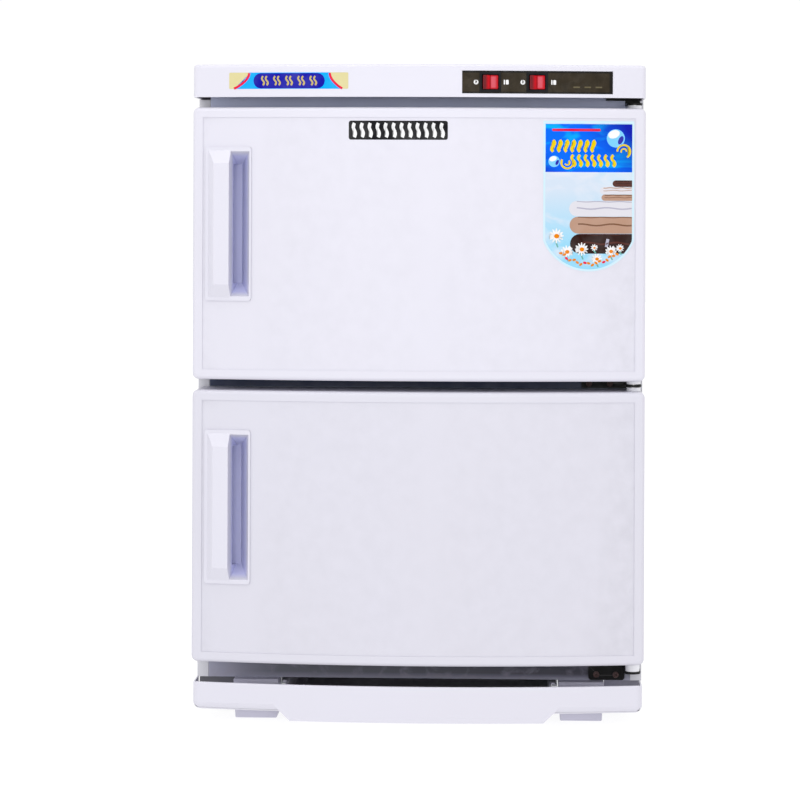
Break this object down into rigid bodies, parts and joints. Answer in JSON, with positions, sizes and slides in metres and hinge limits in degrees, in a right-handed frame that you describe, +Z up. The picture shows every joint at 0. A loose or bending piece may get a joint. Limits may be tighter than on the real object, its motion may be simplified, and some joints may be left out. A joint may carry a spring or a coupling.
{
  "type": "hot towel cabinet",
  "caption": "Free-standing hot towel cabinet with stacked bowed doors, recessed side handles, a top cover with rocker switches and a slide-out drip tray.",
  "frame": {"origin": "centre of the footprint, on the surface that the feet stand on", "axes": "+Z up, the doors face -Y, +X is to the right of someone facing the doors"},
  "size_m": [0.45, 0.38, 0.658],
  "materials": {
    "white_plastic": "smooth white moulded plastic with a soft gloss",
    "handle_plastic": "white moulded plastic, satin",
    "white_steel": "white powder coat with a fine orange peel",
    "frame_paint": "pale blue-white powder coat",
    "underside_coat": "dark rust-proof coat",
    "zinc_steel": "bare zinc-coated sheet",
    "dark_trim": "dark blue-black plastic strip",
    "foam": "rigid foam",
    "liner_aluminium": "drawn aluminium sheet, satin",
    "heater_foil": "foil laminate",
    "brown_phenolic": "brown phenolic body",
    "fuse_metal": "tinned barrel",
    "rack_chrome": "bright plated wire",
    "lamp_glass": "clear quartz tube with metal end caps",
    "lamp_holder_plastic": "white heat-resistant plastic",
    "ballast_steel": "grey varnished core",
    "loom_rubber": "black sleeve",
    "black_plastic": "black moulded plastic",
    "red_rocker": "translucent red, glossy",
    "panel_gloss": "dark olive film, glossy",
    "black_steel": "black e-coat",
    "pin_steel": "turned steel",
    "dark_screw": "blackened steel",
    "screw_steel": "plated steel",
    "bush_nylon": "nylon",
    "liner_plastic": "white formed sheet, satin",
    "gasket_rubber": "pale grey magnetic seal",
    "foot_plastic": "white-grey moulded plastic"
  },
  "bodies": {
    "cabinet": {"top_cover": "white_plastic", "left_side_panel": "white_steel", "right_side_panel": "white_steel", "front_frame": "frame_paint", "rear_panel": "zinc_steel", "base_pan": "underside_coat", "top_panel": "zinc_steel", "centre_rail_trim": "dark_trim", "side_insulation": "foam", "level_insulation": "foam", "rear_insulation": "foam", "upper_chamber_liner": "liner_aluminium", "lower_chamber_liner": "liner_aluminium", "upper_heating_pad": "heater_foil", "lower_heating_pad": "heater_foil", "upper_thermostat": "brown_phenolic", "lower_thermostat": "brown_phenolic", "thermal_fuses": "fuse_metal", "rack_rails": "liner_aluminium", "drip_tray_rails": "zinc_steel", "upper_rack": "rack_chrome", "lower_rack": "rack_chrome", "uv_lamp_tube": "lamp_glass", "uv_lamp_holders": "lamp_holder_plastic", "uv_lamp_guard": "rack_chrome", "uv_ballast": "ballast_steel", "uv_starter": "lamp_holder_plastic", "terminal_block": "lamp_holder_plastic", "wiring_harness": "loom_rubber", "heat_switch_housing": "black_plastic", "uv_switch_housing": "black_plastic", "control_panel": "panel_gloss", "cable_gland": "black_plastic", "middle_hinge_bracket": "black_steel", "bottom_hinge_bracket": "black_steel", "top_hinge_bracket": "black_steel", "hinge_pins": "pin_steel", "hinge_screws": "dark_screw", "rear_panel_screws": "screw_steel", "top_cover_screws": "screw_steel", "foot_screws": "screw_steel", "foot_front_left": "foot_plastic", "foot_front_right": "foot_plastic", "foot_rear_left": "foot_plastic", "foot_rear_right": "foot_plastic"},
    "upper_door": {"upper_door_shell": "white_plastic", "upper_door_handle": "handle_plastic", "upper_door_insulation": "foam", "upper_door_bushes": "bush_nylon", "upper_door_liner": "liner_plastic", "upper_door_gasket": "gasket_rubber"},
    "lower_door": {"lower_door_shell": "white_plastic", "lower_door_handle": "handle_plastic", "lower_door_insulation": "foam", "lower_door_bushes": "bush_nylon", "lower_door_liner": "liner_plastic", "lower_door_gasket": "gasket_rubber"},
    "heat_switch": {"heat_switch_rocker": "red_rocker"},
    "uv_switch": {"uv_switch_rocker": "red_rocker"},
    "drip_tray_body": {"drip_tray": "white_plastic"}
  },
  "joints": [
    {"name": "upper_door_swing", "type": "hinge", "parent": "cabinet", "child": "upper_door", "pos_m": [0.2145, -0.15, 0.48], "axis": [0, 0, 1], "range_deg": [0, 110]},
    {"name": "lower_door_swing", "type": "hinge", "parent": "cabinet", "child": "lower_door", "pos_m": [0.2145, -0.15, 0.199], "axis": [0, 0, 1], "range_deg": [0, 110]},
    {"name": "heat_switch_rock", "type": "hinge", "parent": "cabinet", "child": "heat_switch", "pos_m": [0.07063, -0.18484, 0.6403], "axis": [0, 0, -1], "range_deg": [0, 12]},
    {"name": "uv_switch_rock", "type": "hinge", "parent": "cabinet", "child": "uv_switch", "pos_m": [0.11672, -0.18144, 0.6403], "axis": [0, 0, -1], "range_deg": [0, 12]},
    {"name": "drip_tray_slide", "type": "slide", "parent": "cabinet", "child": "drip_tray_body", "axis": [0, -1, 0], "range_m": [0, 0.16]}
  ]
}
